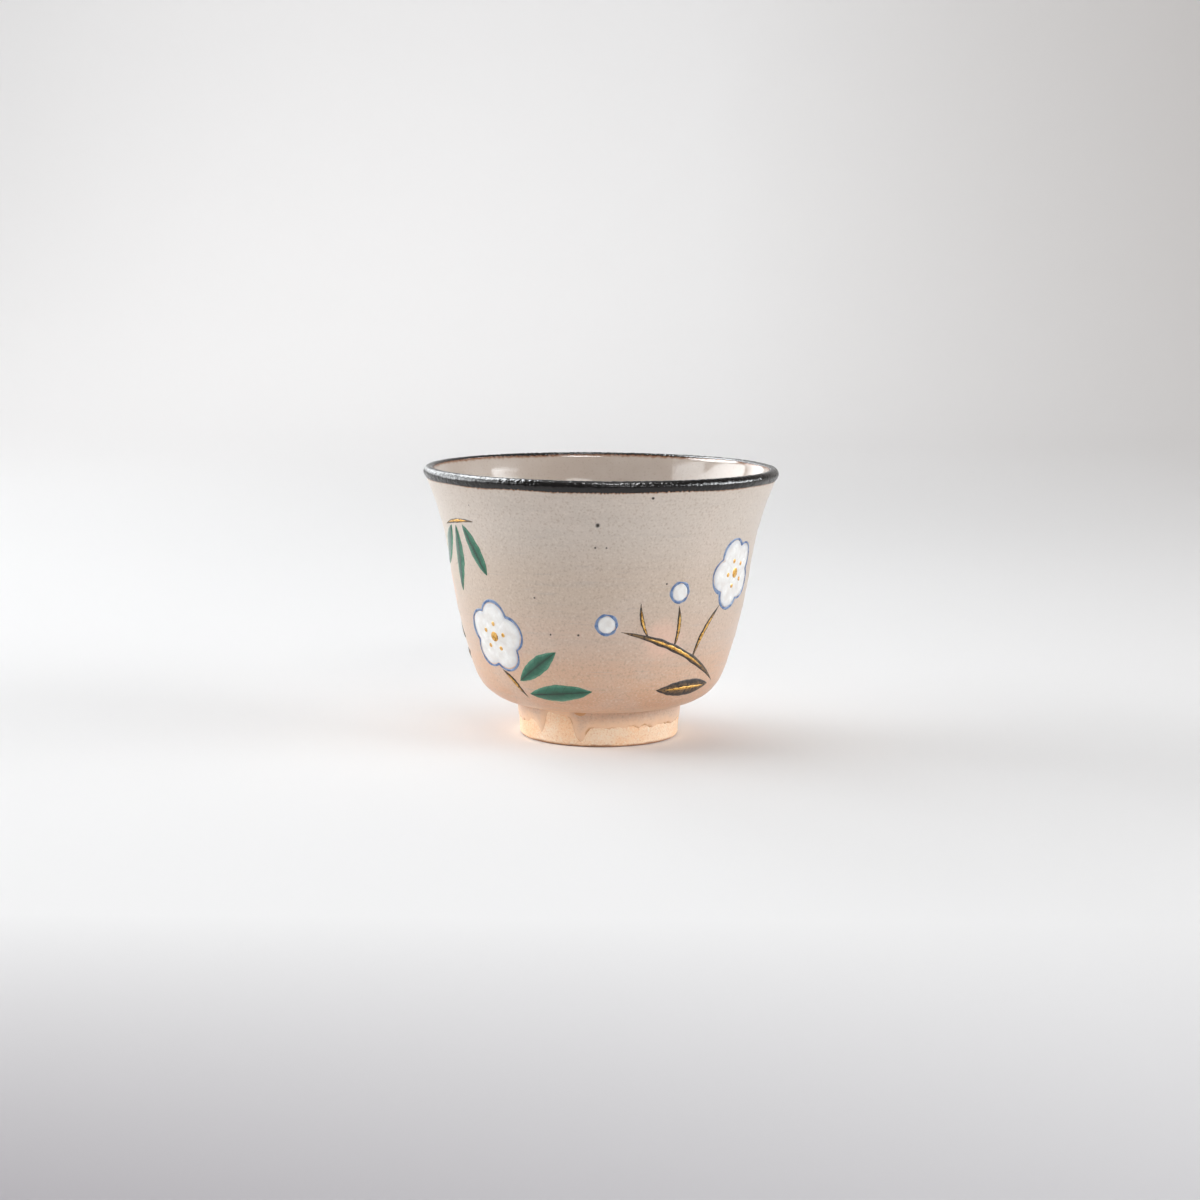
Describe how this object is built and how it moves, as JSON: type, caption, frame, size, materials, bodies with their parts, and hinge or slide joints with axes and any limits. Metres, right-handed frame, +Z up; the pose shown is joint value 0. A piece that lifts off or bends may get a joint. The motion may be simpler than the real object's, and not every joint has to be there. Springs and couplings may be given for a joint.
{
  "type": "sake cup",
  "caption": "Small flared stoneware sake cup on a trimmed foot ring, with satin glaze, a dark iron lip and raised enamel blossoms, leaves and branches touched with gold.",
  "frame": {"origin": "on the cup's axis, in the plane that the foot ring stands on", "axes": "+Z up along the cup's axis to the lip, -Y towards the painted front, +X to the right of the front"},
  "size_m": [0.063, 0.063, 0.0482],
  "materials": {
    "bare_clay": "matt fired stoneware",
    "inside_glaze": "gloss",
    "outside_glaze": "satin gloss",
    "iron_glaze": "gloss",
    "white_enamel": "gloss",
    "blue_enamel": "gloss",
    "green_enamel": "gloss",
    "iron_enamel": "satin",
    "gold": "satin fired gold"
  },
  "bodies": {
    "root": {"clay_body": "bare_clay", "inner_glaze": "inside_glaze", "outer_glaze": "outside_glaze", "rim_band": "iron_glaze", "white_petals": "white_enamel", "blue_outlines": "blue_enamel", "gold_stamens": "gold", "green_leaves": "green_enamel", "iron_leaves": "iron_enamel", "gold_veins": "gold", "iron_branches": "iron_enamel", "gold_strokes": "gold"}
  },
  "joints": []
}
